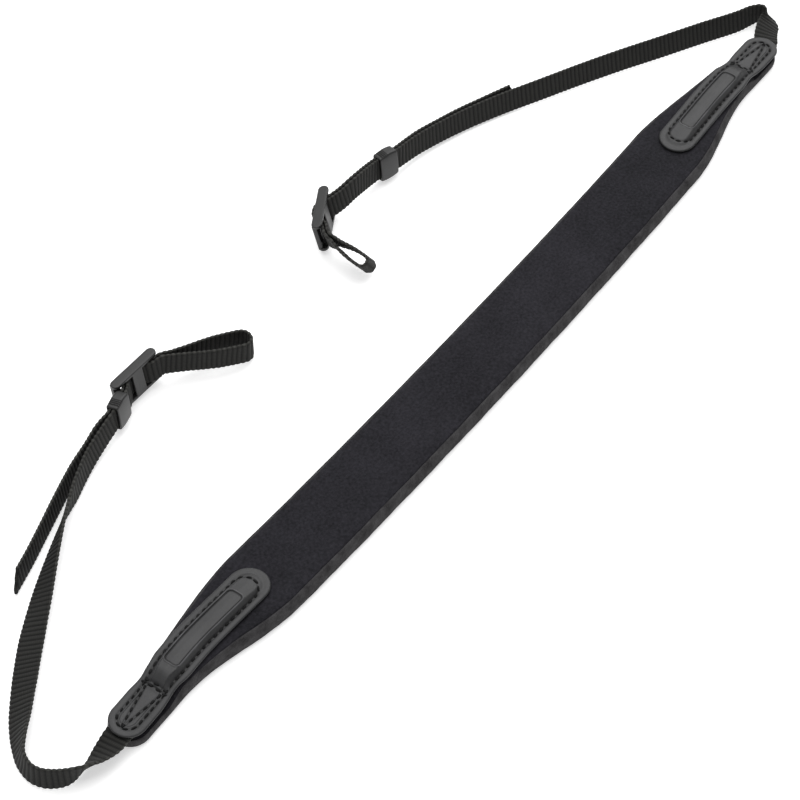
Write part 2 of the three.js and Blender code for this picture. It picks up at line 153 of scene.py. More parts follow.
def endTree(tree, geometry, material):
    real = addNode(tree, "GeometryNodeRealizeInstances", {"Geometry": geometry})
    painted = addNode(tree, "GeometryNodeSetMaterial", {"Geometry": real.outputs[0], "Material": material})
    addNode(tree, "NodeGroupOutput", {"Geometry": painted.outputs[0]})


def runTree(piece, tree, values):
    modifier = piece.modifiers.new(tree.name, "NODES")
    modifier.node_group = tree
    for item in tree.interface.items_tree:
        if item.item_type == "SOCKET" and item.in_out == "INPUT" and item.name in values:
            modifier[item.identifier] = values[item.name]
    graph = bpy.context.evaluated_depsgraph_get()
    made = bpy.data.meshes.new_from_object(piece.evaluated_get(graph), preserve_all_data_layers=True,
                                           depsgraph=graph)
    piece.modifiers.clear()
    piece.data = made
    smoothAll(made)
    return piece


# finishes

def tone(red, green, blue):
    linear = [c / 12.92 if c <= 0.04045 else ((c + 0.055) / 1.055) ** 2.4
              for c in (red / 255, green / 255, blue / 255)]
    return (*linear, 1.0)


def newFinish(name, values):
    material = bpy.data.materials.new(name)
    material.use_nodes = True
    shader = material.node_tree.nodes["Principled BSDF"]
    for label, value in values.items():
        shader.inputs[label].default_value = value
    return material, material.node_tree, shader


def paint(tree, shader, share, *stops):
    made = addNode(tree, "ShaderNodeValToRGB", {"Fac": share})
    elements = made.color_ramp.elements
    elements[0].position, elements[1].position = stops[0][0], stops[-1][0]
    for place, _ in stops[1:-1]:
        elements.new(place)
    for element, (_, colour) in zip(elements, stops):
        element.color = colour
    tree.links.new(made.outputs["Color"], shader.inputs["Base Color"])


def raiseSurface(tree, shader, height, distance, strength, under=None):
    made = addNode(tree, "ShaderNodeBump", {"Height": height, "Distance": distance, "Strength": strength})
    if under is not None:
        tree.links.new(under, made.inputs["Normal"])
    tree.links.new(made.outputs["Normal"], shader.inputs["Normal"])
    return made.outputs["Normal"]


def noise(tree, scale, detail=2.0, roughness=0.5, vector=None):
    inputs = {"Scale": scale, "Detail": detail, "Roughness": roughness}
    inputs["Vector"] = vector or addNode(tree, "ShaderNodeTexCoord").outputs["Object"]
    return addNode(tree, "ShaderNodeTexNoise", inputs).outputs["Fac"]


def padClothFinish():
    look = {"knit": 1700.0, "dark": tone(19, 19, 22), "light": tone(42, 41, 46)}
    material, tree, shader = newFinish("padJersey", {"Roughness": 0.9, "Specular IOR Level": 0.12,
                                                     "Sheen Weight": 0.06, "Sheen Roughness": 0.45})
    where = addNode(tree, "ShaderNodeTexCoord").outputs["Object"]
    loops = addNode(tree, "ShaderNodeTexVoronoi",
                    {"Vector": where, "Scale": look["knit"], "Randomness": 0.55})
    speckle = noise(tree, 900.0, 3.0, 0.65, where)
    patches = noise(tree, 55.0, 2.0, 0.5, where)
    share = mathNode(tree, "MULTIPLY_ADD", patches, 0.35, mathNode(tree, "MULTIPLY", speckle, 0.75))
    paint(tree, shader, share, (0.36, look["dark"]), (0.74, look["light"]))
    grain = raiseSurface(tree, shader, loops.outputs["Distance"], 0.00016, 0.5)
    raiseSurface(tree, shader, speckle, 0.00025, 0.35, grain)
    return material


def foamEdgeFinish():
    material, tree, shader = newFinish("cutFoam", {"Roughness": 0.95, "Specular IOR Level": 0.08})
    where = addNode(tree, "ShaderNodeTexCoord").outputs["Object"]
    patches = noise(tree, 240.0, 3.0, 0.6, where)
    cells = addNode(tree, "ShaderNodeTexVoronoi", {"Vector": where, "Scale": 2400.0})
    share = mathNode(tree, "MULTIPLY_ADD", cells.outputs["Distance"], 0.25, patches)
    paint(tree, shader, share, (0.35, tone(39, 38, 39)), (0.85, tone(70, 69, 70)))
    coarse = raiseSurface(tree, shader, patches, 0.0006, 0.45)
    raiseSurface(tree, shader, cells.outputs["Distance"], 0.0002, 0.5, coarse)
    return material


def tabFinish():
    material, tree, shader = newFinish("tabVinyl", {"Roughness": 0.5, "Specular IOR Level": 0.38})
    where = addNode(tree, "ShaderNodeTexCoord").outputs["Object"]
    pebbles = addNode(tree, "ShaderNodeTexVoronoi", {"Vector": where, "Scale": 2600.0}, feature="SMOOTH_F1")
    pores = noise(tree, 1500.0, 3.0, 0.6, where)
    patches = noise(tree, 110.0, 2.0, 0.5, where)
    # painted shade and a painted highlight from the mesh: the darkest stop is the shade in the groove, stitch
    # rows and step foot, the lightest stop the highlight on the panel's lip
    paintedShadeAndHighlight = addNode(tree, "ShaderNodeAttribute", attribute_name="paintedShadeAndHighlight").outputs["Fac"]
    share = mathNode(tree, "MULTIPLY_ADD", paintedShadeAndHighlight, -0.6, patches)
    paint(tree, shader, share, (0.0, tone(9, 9, 9)), (0.3, tone(35, 35, 36)), (0.7, tone(45, 45, 46)),
          (1.0, tone(72, 72, 74)))
    rough = mathNode(tree, "MULTIPLY_ADD", pores, 0.16, 0.4)
    tree.links.new(rough, shader.inputs["Roughness"])
    fine = raiseSurface(tree, shader, pebbles.outputs["Distance"], 0.00008, 0.35)
    raiseSurface(tree, shader, patches, 0.0004, 0.15, fine)
    return material


def threadFinish():
    material, tree, shader = newFinish("stitchThread", {"Roughness": 0.7, "Specular IOR Level": 0.2})
    strands = noise(tree, 5200.0, 2.0, 0.5)
    paint(tree, shader, strands, (0.3, tone(8, 8, 8)), (0.75, tone(19, 19, 20)))
    raiseSurface(tree, shader, strands, 0.00015, 0.5)
    return material


def mouldingFinish():
    material, tree, shader = newFinish("blackMoulding", {"Roughness": 0.4, "Specular IOR Level": 0.45})
    where = addNode(tree, "ShaderNodeTexCoord").outputs["Object"]
    spark = noise(tree, 2600.0, 2.0, 0.5, where)
    flow = noise(tree, 160.0, 2.0, 0.5, where)
    paint(tree, shader, flow, (0.3, tone(20, 20, 20)), (0.7, tone(29, 29, 29)))
    rough = mathNode(tree, "MULTIPLY_ADD", flow, 0.15, 0.33)
    tree.links.new(rough, shader.inputs["Roughness"])
    raiseSurface(tree, shader, spark, 0.00006, 0.3)
    return material


def webbingFinish(ribPitch, yarnPitch, edgeFrom, edgeTo):
    material, tree, shader = newFinish("wovenWebbing", {"Roughness": 0.82, "Specular IOR Level": 0.2,
                                                        "Sheen Weight": 0.04, "Sheen Roughness": 0.4})
    along = addNode(tree, "ShaderNodeAttribute", attribute_name="along").outputs["Fac"]
    across = addNode(tree, "ShaderNodeAttribute", attribute_name="across").outputs["Fac"]
    ribPlace = mathNode(tree, "DIVIDE", along, ribPitch)
    crest = mathNode(tree, "ABSOLUTE", mathNode(tree, "SINE", mathNode(tree, "MULTIPLY", ribPlace, math.pi)))
    # warp yarns cross one rib and dive under the next, so each row is half a yarn over
    row = mathNode(tree, "FLOOR", ribPlace)
    yarnPlace = mathNode(tree, "MULTIPLY_ADD", row, 0.5, mathNode(tree, "DIVIDE", across, yarnPitch))
    yarn = mathNode(tree, "ABSOLUTE", mathNode(tree, "SINE", mathNode(tree, "MULTIPLY", yarnPlace, math.pi)))
    fuzz = noise(tree, 3200.0, 3.0, 0.6)
    # the colour is darker in the rib valleys, painted shade in the recesses, laid over the yarns'
    # over-and-under pattern
    weaveAndValleyShade = mathNode(tree, "MULTIPLY", crest, mathNode(tree, "MULTIPLY_ADD", yarn, 0.45, 0.55))
    # painted highlight: lighter along both edges of the webbing, where the rounded edges catch the light,
    # with the rib pattern weaker there
    fromMiddle = mathNode(tree, "ABSOLUTE", across)
    selvedgeHighlight = addNode(tree, "ShaderNodeMapRange", {"Value": fromMiddle, "From Min": edgeFrom,
                                                    "From Max": edgeTo}).outputs[0]
    inner = mathNode(tree, "MULTIPLY", weaveAndValleyShade, mathNode(tree, "MULTIPLY_ADD", selvedgeHighlight, -0.35, 0.55))
    share = mathNode(tree, "MULTIPLY_ADD", fuzz, 0.25, inner)
    share = mathNode(tree, "MULTIPLY_ADD", selvedgeHighlight, 0.48, share)
    # the lightest stop is reached by the painted highlight on the webbing's edges
    paint(tree, shader, share, (0.1, tone(13, 13, 13)), (0.67, tone(41, 41, 39)),
          (1.0, tone(82, 82, 79)))
    threads = raiseSurface(tree, shader, weaveAndValleyShade, 0.00022, 0.6)
    raiseSurface(tree, shader, fuzz, 0.00012, 0.4, threads)
    return material


webbingMake = {"width": 10.0, "thickness": 1.25, "ribPitch": 1.9, "ribDepth": 0.24, "scallop": 1.5,
               "yarnPitch": 0.8, "edgeFrom": 4.4, "edgeTo": 4.8, "hiddenEnd": 58.0, "hiddenHalf": 2.2,
               "hiddenTaper": (31, 37), "pairPitch": 1.55, "bendStep": 1.1, "curveStep": 0.3,
               "twist": (7.0, 14.0), "twistShare": 0.7, "cutSlant": 4.7, "fray": 0.35, "uneven": 0.22,
               "edgeRound": 0.55, "columns": 13, "stepsPerRib": 7}
padJersey, cutFoam, tabVinyl = padClothFinish(), foamEdgeFinish(), tabFinish()
stitchThread, blackMoulding = threadFinish(), mouldingFinish()
wovenWebbing = webbingFinish(*(webbingMake[label] * mm
                               for label in ("ribPitch", "yarnPitch", "edgeFrom", "edgeTo")))
print("finishes made")


# neck pad: a foam slab with a cloth face, its cut edge left open round the sides

padMake = {"length": 414.0, "width": 30.5, "thickness": 7.5, "tipWidth": 15.4, "tipThickness": 4.2,
           "frontFlare": (26.0, 79.0), "backFlare": (18.0, 80.0), "stepStart": 19.0, "stepEnd": 28.0,
           "edgeBand": 3.4, "edgeDrop": 0.6, "crown": 0.18, "wallBulge": 0.2, "wallWave": 0.14,
           "crease": 1.45, "creaseDepth": 0.4, "sewnDent": 0.2, "step": 1.0}
# how far the pad's middle line strays to +Y as it lies
padBow = [(-207, 1.9), (-190, 2.5), (-165, 3.3), (-137, 2.4), (-95, 1.1), (0, 0),
          (95, 0.9), (137, 2.2), (165, 3.6), (190, 3.9), (207, 4)]
padHalf = padMake["length"] / 2


def padMiddle(x):
    xs, ys = np.array(padBow, float).T
    secants = np.diff(ys) / np.diff(xs)
    slopes = np.concatenate([secants[:1], (secants[1:] + secants[:-1]) / 2, secants[-1:]])
    x = np.asarray(x, float)
    i = np.clip(np.searchsorted(xs, x) - 1, 0, len(xs) - 2)
    span = xs[i + 1] - xs[i]
    t = (x - xs[i]) / span
    return (ys[i] * (2 * t ** 3 - 3 * t ** 2 + 1) + ys[i + 1] * (3 * t ** 2 - 2 * t ** 3)
            + span * (slopes[i] * (t ** 3 - 2 * t ** 2 + t) + slopes[i + 1] * (t ** 3 - t ** 2)))


def padHeight(fromTip):
    share = ease(fromTip, padMake["stepStart"], padMake["stepEnd"])
    return mix(padMake["tipThickness"], padMake["thickness"], share)


def padSideWidth(u, sign):
    fromTip = np.minimum(u, padMake["length"] - u)
    flare = ease(fromTip, *(padMake["backFlare"] if sign > 0 else padMake["frontFlare"]))
    return mix(padMake["tipWidth"], padMake["width"], flare) / 2


def drift(s, seed):  # slow uneven waver along an edge
    waves = ((31.0, 0.4), (13.7, 0.3), (6.1, 0.2), (3.3, 0.1))
    return sum(size * np.sin(2 * math.pi * s / length + seed * (k + 1.7))
               for k, (length, size) in enumerate(waves))


# end tabs: moulded vinyl with a rim, a raised middle over the webbing and a plain sunk panel

tabMake = {"length": 79.4, "tipWidth": 14.2, "width": 15.2, "setIn": {-1: -0.4, 1: -0.1},
           "stray": {-1: (-0.4, 0.6), 1: (-0.9, -0.5)}, "waistAt": 23.5, "waistDepth": 0.6,
           "waistReach": 9.0, "thickness": 1.3, "settle": 0.25, "crownFoot": 2.2, "crownTop": 4.5,
           "crownSwell": 0.12, "fadeStart": 63.0, "fadeEnd": 76.0, "fade": 0.62,
           "rimRound": 0.6, "rowDepth": 0.3, "rowWidth": 0.5,
           "panelFrom": 30.5, "panelTo": 66.0, "panelWidth": 6.0, "panelCorner": 1.6,
           "panelSink": 0.2, "panelGroove": 0.4, "panelLip": 0.24, "step": 0.22}
clearance = 0.3


def tabSideWidth(u, sign=1):
    at, reach = tabMake["waistAt"], tabMake["waistReach"]
    pinch = tabMake["waistDepth"] * (1 - ease(np.abs(u - at), 0, reach))
    return mix(tabMake["tipWidth"], tabMake["width"], ease(u, at, at + reach)) / 2 - pinch


def tabEdgeDistance(u, w):
    tip, body = tabMake["tipWidth"] / 2, tabMake["width"] / 2
    lastU = tabMake["length"] - body
    nearTip = tip - np.hypot(tip - u, w)
    nearEnd = body - np.hypot(u - lastU, w)
    between = tabSideWidth(np.clip(u, tip, lastU)) - np.abs(w)
    return np.where(u < tip, nearTip, np.where(u > lastU, nearEnd, between))


def tabRows():
    arc = np.radians(np.linspace(90, -90, 25))
    tip = tabMake["tipWidth"] / 2
    endArc = np.stack([69.4 + 4.9 * np.cos(arc), 4.95 * np.sin(arc)], axis=-1)
    tipArc = np.stack([tip - 4.1 * np.cos(arc), 4.1 * np.sin(arc)], axis=-1)
    flip = np.array([1, -1])
    corner = np.array([[22.2, 4.4], [24.5, 4.5], [28.0, 4.8], [32.0, 4.95], [50.0, 4.95]])
    lead = np.array([[20.6, 4.2], [17.0, 4.15], [11.0, 4.1]])
    return {
        "border": np.concatenate([corner, endArc, corner[::-1] * flip]),
        "cross": np.array([[21.1, -4.6], [21.3, 0.0], [21.1, 4.6]]),
        "crossBack": np.array([[22.2, 3.9], [22.4, 0.0], [22.2, -3.9]]),
        "tipRound": np.concatenate([lead, tipArc, lead[::-1] * flip]),
        "tipLegBack": np.array([[19.8, 3.2], [12.0, 1.8], [3.9, 0.3]]),
        "tipLegFront": np.array([[19.8, -3.2], [12.0, -1.8], [3.9, -0.3]]),
    }


def evenRow(row, step):
    spans = np.concatenate([[0], np.cumsum(np.linalg.norm(np.diff(row, axis=0), axis=1))])
    places = np.linspace(0, spans[-1], max(2, int(round(spans[-1] / step)) + 1))
    return np.stack([np.interp(places, spans, row[:, k]) for k in (0, 1)], axis=-1)


stitchRows = {label: evenRow(row, 0.5) for label, row in tabRows().items()}


def rowDistance(u, w):
    found = np.full(np.shape(u), 1e9)
    for row in stitchRows.values():
        for u0, w0 in row:
            found = np.minimum(found, np.hypot(u - u0, w - w0))
    return found


def panelDistance(u, w):
    halfLength = (tabMake["panelTo"] - tabMake["panelFrom"]) / 2
    middle = (tabMake["panelTo"] + tabMake["panelFrom"]) / 2
    corner = tabMake["panelCorner"]
    qu = np.abs(u - middle) - halfLength + corner
    qw = np.abs(w) - tabMake["panelWidth"] / 2 + corner
    return np.hypot(np.maximum(qu, 0), np.maximum(qw, 0)) + np.minimum(np.maximum(qu, qw), 0) - corner


# heights of the tab over the surface below: its rim, and its raised middle
def tabFoot(u):
    pressed = ease(u, padMake["stepStart"], padMake["stepEnd"])
    over = padHeight(u) + webbingMake["thickness"] + 2 * clearance
    return mix(over, padHeight(u) + clearance - tabMake["settle"], pressed)


def tabTop(u, w):
    edge = tabEdgeDistance(u, w)
    pressed = ease(u, padMake["stepStart"], padMake["stepEnd"])
    crown = (webbingMake["thickness"] + clearance + tabMake["settle"]) * pressed
    crown = crown * (1 - tabMake["fade"] * ease(u, tabMake["fadeStart"], tabMake["fadeEnd"]))
    height = tabFoot(u) + tabMake["thickness"] + crown * ease(edge, tabMake["crownFoot"], tabMake["crownTop"])
    height = height + tabMake["crownSwell"] * crown * ease(edge, tabMake["crownTop"], 8.0)
    inRim = np.clip(edge / tabMake["rimRound"], 0, 1)
    height = height - tabMake["rimRound"] * (1 - np.sqrt(1 - (1 - inRim) ** 2))
    height = height + 0.1 * ridge(edge - 1.4, 0.8) - 0.05  # soft roll of the rim
    height = height - tabMake["rowDepth"] * ridge(rowDistance(u, w), tabMake["rowWidth"])
    panel = panelDistance(u, w)
    height = height - tabMake["panelSink"] * ease(-panel, 0.0, 0.35)
    height = height - tabMake["panelGroove"] * ridge(panel + 0.12, 0.17)
    return height + tabMake["panelLip"] * ridge(panel - 0.36, 0.22)


# painted shade, darker in the panel's groove, the stitch rows and the foot of the step, and a painted
# highlight, lighter on the panel's lip
def tabPaintedShadeAndHighlight(u, w):
    panel = panelDistance(u, w)
    foot = 0.24 * ridge(u - 22.6, 2.0) * ease(tabEdgeDistance(u, w), 2.2, 3.4)
    dark = np.maximum(1.0 * ridge(panel + 0.12, 0.2), 0.75 * ridge(rowDistance(u, w), 0.6))
    return np.maximum(dark, foot) - 0.9 * ridge(panel - 0.42, 0.2)


def tabAxis(side, u):  # how far the tab's own middle line strays from the pad's
    stray = tabMake["stray"][side]
    return mix(stray[0], stray[1], ease(u, 8, 46))


def onTab(side, u, w, z):
    x = side * (padHalf - tabMake["setIn"][side] - u)
    return np.stack([x, padMiddle(x) + tabAxis(side, u) + w, z], axis=-1)


def makeTab(name, side):
    body = tabMake["width"] / 2
    loop = capsule(tabMake["length"], tabMake["tipWidth"] / 2, body, tabSideWidth, tabMake["step"], 30)
    under = [1.0, 0.62, 0.5, 0.36, 0.2]  # shares of the way to the middle
    rim = [0.12, 0.3, 0.5]
    rolled = [0.0, 0.03, 0.1, 0.2, 0.35, 0.6, 0.9, 1.3, 1.7, 2.05, 2.35, 2.6, 2.8, 3.0, 3.2, 3.45, 3.7,
              3.95, 4.2]
    inner = np.linspace(4.4, body, 22)
    points, shades = [], []
    for share in under:
        u, w = inward(loop, loop["half"] * share)
        points.append(onTab(side, u, w, tabTop(u, w) - tabMake["thickness"] + 0.1))
        shades.append(0 * u)
    for k, inset in enumerate(rim[::-1]):
        u, w = inward(loop, inset)
        points.append(onTab(side, u, w, tabFoot(u) + 0.1 * k * k))
        shades.append(0 * u)
    for inset in [*rolled, *inner]:
        u, w = inward(loop, np.minimum(inset * loop["half"] / body if inset > 4.3 else inset, loop["half"]))
        points.append(onTab(side, u, w, tabTop(u, w)))
        shades.append(tabPaintedShadeAndHighlight(u, w))
    return makePiece(name, np.concatenate(points), ringFaces(len(points), len(loop["u"])), [tabVinyl],
                     attributes={"paintedShadeAndHighlight": np.concatenate(shades)})


# pad, settled a little where the tabs are sewn down

def padTopAt(u, w, inset):
    fromTip = np.minimum(u, padMake["length"] - u)
    height = padHeight(fromTip)
    full = height / padMake["thickness"]
    drop = padMake["edgeDrop"] * full * np.clip(1 - inset / padMake["edgeBand"], 0, 1) ** 2
    outside = -tabEdgeDistance(fromTip, w)
    sewn = (1 - ease(outside, -0.5, 5.0)) * ease(fromTip, padMake["stepStart"], padMake["stepEnd"])
    crown = padMake["crown"] * ease(inset, 0, padMake["width"] / 2) * full
    return height - drop - padMake["sewnDent"] * sewn + crown * (1 - sewn)


def makePad(name):
    loop = capsule(padMake["length"], padMake["tipWidth"] / 2, padMake["tipWidth"] / 2, padSideWidth,
                   padMake["step"], 20)
    steps = np.hypot(np.diff(loop["u"], append=loop["u"][:1]), np.diff(loop["w"], append=loop["w"][:1]))
    s = np.concatenate([[0], np.cumsum(steps)[:-1]])
    fade = ease(loop["half"], 7.8, 12.0)
    edgeZ = padTopAt(*inward(loop, 0.0 * s), 0.0 * s)
    rings, isWall = [], []

    def addRing(inset, z, wall):
        u, w = inward(loop, inset + 0.0 * s)
        x = u - padHalf
        rings.append(np.stack([x, padMiddle(x) + w, z + 0.0 * s], axis=-1))
        isWall.append(wall)

    for share in (1.0, 0.7, 0.4, 0.2):
        addRing(loop["half"] * share, 0.0, False)
    addRing(0.75, 0.0, True)
    crease = padMake["crease"] * (0.35 + 0.65 * fade)
    for share in (0.05, 0.14, 0.26, 0.4, 0.54, 0.66, 0.77, 0.86, 0.93, 0.98):
        bulge = -padMake["wallBulge"] * math.sin(math.pi * share) + 0.28 * (1 - share) ** 3
        waver = padMake["wallWave"] * drift(s, 1.3 + share) * (0.4 + 0.6 * fade) * (1 - 0.7 * share)
        addRing(bulge + waver + crease * (1 - math.sqrt(1 - share ** 4)), edgeZ * share, True)
    seam = crease + 0.1 * drift(s, 4.1)
    addRing(seam + 0.1, edgeZ - padMake["creaseDepth"], True)
    addRing(seam + 0.2, edgeZ - padMake["creaseDepth"], False)
    for inset in (0.3, 0.42, 0.6, 0.85, 1.15, 1.5, 2.0, 2.6, 3.3, 4.2, 5.4):
        ring = np.minimum(seam + inset, loop["half"] * 0.9)
        addRing(ring, padTopAt(*inward(loop, ring), inset), False)
    for share in (0.94, 0.97, 1.0):
        inset = np.maximum(loop["half"] * share, np.minimum(seam + 5.4, loop["half"] * 0.9) + 0.01)
        inset = np.minimum(inset, loop["half"])
        u, w = inward(loop, inset)
        addRing(inset, padTopAt(u, w, inset), False)
    count = len(loop["u"])
    walls = np.repeat([a and b for a, b in zip(isWall, isWall[1:])], count)
    faces = ringFaces(len(rings), count)
    return makePiece(name, np.concatenate(rings), faces, [padJersey, cutFoam], walls.astype(int))


neckPad = makePad("neckPad")
print("neck pad:", len(neckPad.data.polygons), "faces")
sideLabels = {-1: "Left", 1: "Right"}
tabs = {side: makeTab("endTab" + label, side) for side, label in sideLabels.items()}
print("end tabs:", [len(t.data.polygons) for t in tabs.values()], "faces")


# stitches: short arched threads set along the rows

stitchMake = {"pitch": 2.95, "length": 2.0, "radius": 0.45, "rise": 0.75, "sink": 0.45, "slant": 11.0,
              "seed": 7}


def stitchTree():
    sizes = dict.fromkeys(("Pitch", "Length", "Radius", "Rise", "Sink", "Slant"), "Float")
    tree, given = newTree("stitchRows", {**sizes, "Seed": "Int", "Thread": "Material"})
    rows = addNode(tree, "GeometryNodeMeshToCurve", {"Mesh": given["Geometry"]})
    places = addNode(tree, "GeometryNodeResampleCurve", {"Curve": rows.outputs[0], "Length": given["Pitch"]},
                     mode="LENGTH")
    halfLength = mathNode(tree, "MULTIPLY", given["Length"], 0.5)
    low = mathNode(tree, "MULTIPLY", given["Sink"], -1.0)
    first = mathNode(tree, "MULTIPLY", halfLength, -1.0)
    start = addNode(tree, "ShaderNodeCombineXYZ", {"X": first, "Z": low})
    end = addNode(tree, "ShaderNodeCombineXYZ", {"X": halfLength, "Z": low})
    top = addNode(tree, "ShaderNodeCombineXYZ", {"Z": given["Rise"]})
    arch = addNode(tree, "GeometryNodeCurveQuadraticBezier",
                   {"Resolution": 7, "Start": start.outputs[0], "Middle": top.outputs[0],
                    "End": end.outputs[0]})
    ring = addNode(tree, "GeometryNodeCurvePrimitiveCircle", {"Resolution": 8, "Radius": given["Radius"]})
    thread = addNode(tree, "GeometryNodeCurveToMesh",
                     {"Curve": arch.outputs[0], "Profile Curve": ring.outputs[0], "Fill Caps": True})
    wayAlong = addNode(tree, "GeometryNodeInputTangent")
    normal = addNode(tree, "GeometryNodeInputNamedAttribute", {"Name": "surfaceUp"}, data_type="FLOAT_VECTOR")
    facing = addNode(tree, "FunctionNodeAlignRotationToVector", {"Vector": wayAlong.outputs[0]}, axis="X")
    upright = addNode(tree, "FunctionNodeAlignRotationToVector",
                      {"Rotation": facing.outputs[0], "Vector": normal.outputs[0]}, axis="Z", pivot_axis="X")
    lean = addNode(tree, "FunctionNodeRandomValue", {"Min": 0.6, "Max": 1.4, "Seed": given["Seed"]},
                   data_type="FLOAT")
    slant = mathNode(tree, "MULTIPLY", given["Slant"], next(o for o in lean.outputs if o.enabled))
    twist = addNode(tree, "ShaderNodeCombineXYZ", {"Z": slant})
    turn = addNode(tree, "FunctionNodeEulerToRotation", {"Euler": twist.outputs[0]})
    slanted = addNode(tree, "FunctionNodeRotateRotation",
                      {"Rotation": upright.outputs[0], "Rotate By": turn.outputs[0]}, rotation_space="LOCAL")
    size = addNode(tree, "FunctionNodeRandomValue", {"Min": (0.8, 0.75, 0.9), "Max": (1.15, 1.25, 1.1),
                                                     "Seed": given["Seed"]}, data_type="FLOAT_VECTOR")
    sewn = addNode(tree, "GeometryNodeInstanceOnPoints",
                   {"Points": places.outputs[0], "Instance": thread.outputs[0],
                    "Rotation": slanted.outputs[0], "Scale": next(o for o in size.outputs if o.enabled)})
    endTree(tree, sewn.outputs[0], given["Thread"])
    return tree


def makeStitches(name, side, tree):
    points, normals, edges = [], [], []
    reach = 0.15
    for row in stitchRows.values():
        row = evenRow(row, 0.6)
        u, w = row.T
        z = tabTop(u, w)
        slopeU = (tabTop(u + reach, w) - tabTop(u - reach, w)) / (2 * reach)
        slopeW = (tabTop(u, w + reach) - tabTop(u, w - reach)) / (2 * reach)
        start = sum(len(p) for p in points)
        points.append(onTab(side, u, w, z))
        normals.append(unit(np.stack([side * slopeU * 0.5, -slopeW * 0.5, np.ones_like(u)], axis=-1)))
        edges += [(start + k, start + k + 1) for k in range(len(row) - 1)]
    mesh = bpy.data.meshes.new(name)
    mesh.from_pydata((np.concatenate(points) * mm).tolist(), edges, [])
    ups = np.concatenate(normals).astype(np.float32)
    mesh.attributes.new("surfaceUp", "FLOAT_VECTOR", "POINT").data.foreach_set("vector", ups.ravel())
    piece = addObject(name, mesh)
    sizes = ("pitch", "length", "radius", "rise", "sink")
    values = {label.title(): stitchMake[label] * mm for label in sizes}
    return runTree(piece, tree, {**values, "Slant": math.radians(stitchMake["slant"]),
                                 "Seed": stitchMake["seed"], "Thread": stitchThread})


rowTree = stitchTree()
stitches = {side: makeStitches("stitches" + label, side, rowTree) for side, label in sideLabels.items()}
print("stitches:", [len(s.data.polygons) for s in stitches.values()], "faces")


# webbing: where the middle of its width runs in plan, the height of its lower edge, and its lean to the
# right of the way it runs, from 0 on edge to 90 flat

leftRun = [
    (-207, 1.5, 4.2, -87), (-211, 1.2, 3.2, -78), (-215, 1.2, 1.9, -62), (-219, 1.5, 0.6, -43),
    (-222.6, 2.1, 0.2, -26), (-225.8, 3.1, 0.1, -9), (-228.8, 4.8, 0.1, 2), (-231.4, 7.4, 0.1, 6),
    (-233.4, 10.7, 0.1, 7), (-234.1, 15, 0.1, 9), (-232.2, 20.6, 0.1, 16), (-227.2, 26.2, 0.1, 33),
    (-218.9, 33.2, 0.1, 55), (-206.2, 42.4, 0.1, 68), (-193.8, 50.6, 0.1, 71), (-178.6, 59.3, 0.1, 56),
    (-164.7, 66.8, 0.1, 37), (-148.8, 74.8, 0.1, 16), (-138, 79.2, 0.1, -2), (-124.5, 84, 0.8, -8),
    (-114, 86, 2.3, -6)]
rightRun = [
    (207, 4.3, 4.2, -86), (210.6, 6.3, 3.2, -76), (214.8, 8.2, 2.1, -66), (219.2, 9.8, 1.1, -58),
    (221.9, 12, 0.3, -36), (221.3, 15, 0.1, -8), (217.6, 17.5, 0.1, 9), (211, 20.2, 0.1, 15),
    (195.8, 28.6, 0.1, 17), (179, 37.5, 0.1, 17), (162.8, 46.3, 0.1, 16), (146, 54.8, 0.1, 15),
    (129, 62.9, 0.1, 14), (112.5, 70.8, 0.1, 13), (94.4, 77.9, 0.4, 11), (74, 83.2, 1.4, 8)]
leftTail = [
    (-114, 88.3, 2.4, 5), (-122, 87, 1, 4), (-131.5, 85.2, 0.3, 4), (-140, 82.7, 0.1, 4),
    (-149, 79.7, 0.1, 4), (-158, 76.6, 0.1, 3), (-169, 72.9, 0.1, 3), (-179.5, 69.8, 0.1, 3)]
rightTail = [
    (74.4, 84.8, 1.6, -6), (85, 82.5, 0.8, -7), (95.1, 79.8, 0.4, -7), (107, 75.7, 0.1, -7),
    (121.3, 70.3, 0.1, -7)]
# the pair of layers through each tri-glide: along the way they run, and across to the back
leftPass = [
    (-7.8, -2.6), (-6, -1.15), (-4.7, 0), (-3.5, 0.72), (-1.7, 0.9), (0, 0.9), (1.7, 0.9), (3.5, 0.55),
    (5.2, -0.75), (7.4, -2.05), (11, -2.5)]
rightPass = [
    (-15.8, -9.5), (-10.5, -5.7), (-6.9, -2.2), (-5, 0.2), (-3.5, 1.6), (-1.7, 2.2), (0, 2.3), (1.7, 2.2),
    (3.4, 1.35), (5.3, -0.5), (7.5, -2.2), (10.4, -3.6), (12.4, -5.2)]
strapEnds = [
    {"label": "Left", "side": -1, "run": leftRun, "tail": leftTail, "pass": leftPass,
     "keeper": {"at": (-102.2, 88.9, 8.4), "heading": 14, "lean": 4, "rise": -1},
     "glide": {"at": (-87.4, 93.3, 8.3), "heading": -2.5, "lean": 5, "rise": 3},
     "loop": {"turn": 30.3, "length": 31, "radius": 3.7, "open": 0.8, "lean": 0, "lift": 1.2}},
    {"label": "Right", "side": 1, "run": rightRun, "tail": rightTail, "pass": rightPass,
     "keeper": {"at": (56.2, 86.5, 7.6), "heading": 166, "lean": 6, "rise": 0},
     "glide": {"at": (17.7, 87.7, 8.2), "heading": 209.5, "lean": 12, "rise": 0},
     "loop": {"turn": 60, "length": 15.6, "radius": 2.25, "open": 0.7, "lean": 33, "lift": 1.2}}]
glideMake = {"length": 22.6, "height": 13.3, "thickness": 4.1, "rail": 1.35, "rimRound": 0.32,
             "centreWidth": 5.4, "centreThickness": 1.2, "endWidth": 3.4, "endThickness": 1.9,
             "endInset": 0.4, "barRound": 0.45}
